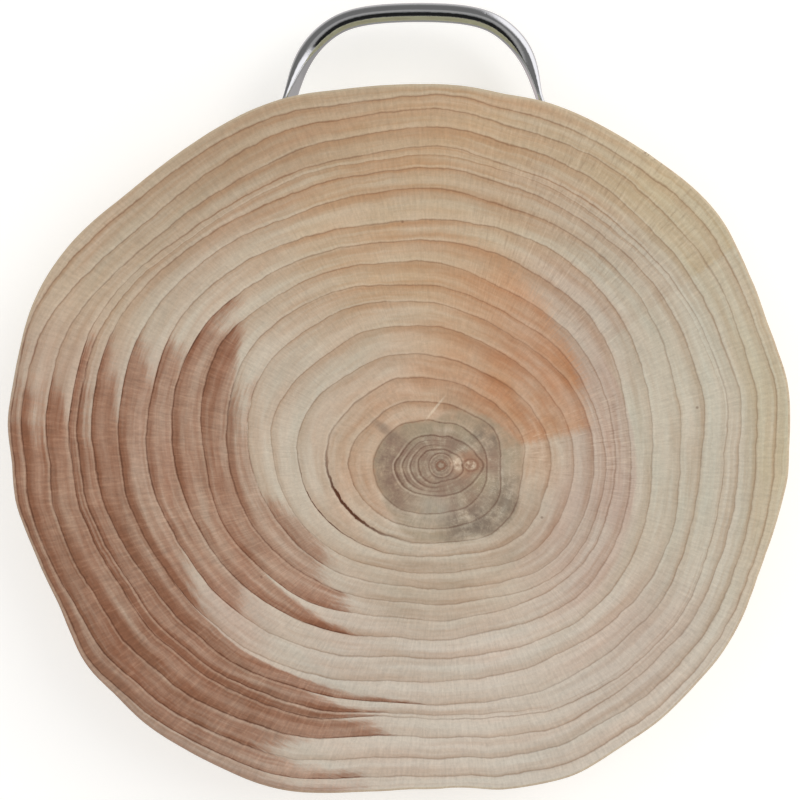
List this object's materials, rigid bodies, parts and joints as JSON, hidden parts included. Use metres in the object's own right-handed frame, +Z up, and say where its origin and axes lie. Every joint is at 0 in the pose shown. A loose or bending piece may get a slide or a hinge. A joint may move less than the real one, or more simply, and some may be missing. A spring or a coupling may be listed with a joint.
{
  "type": "round chopping block",
  "caption": "Round end-grain chopping block cut as one whole slice of a trunk, with a bent steel bow handle screwed to its side.",
  "frame": {"origin": "middle of the underside of the wood, the point halfway along the block's widest span and its greatest depth across that", "axes": "+Z up out of the cutting face, +Y from the middle of the block towards the handle, +X to the right with the handle at the far side"},
  "size_m": [0.3381, 0.3471, 0.05],
  "materials": {
    "end_grain_wood": "sanded and lightly oiled end grain, with a brown heart stain",
    "polished_steel": "mirror-polished stainless steel",
    "screw_steel": "bright stainless steel, as turned and pressed"
  },
  "bodies": {
    "root": {"chopping_block": "end_grain_wood", "bow_handle": "polished_steel", "handle_screws": "screw_steel"}
  },
  "joints": []
}
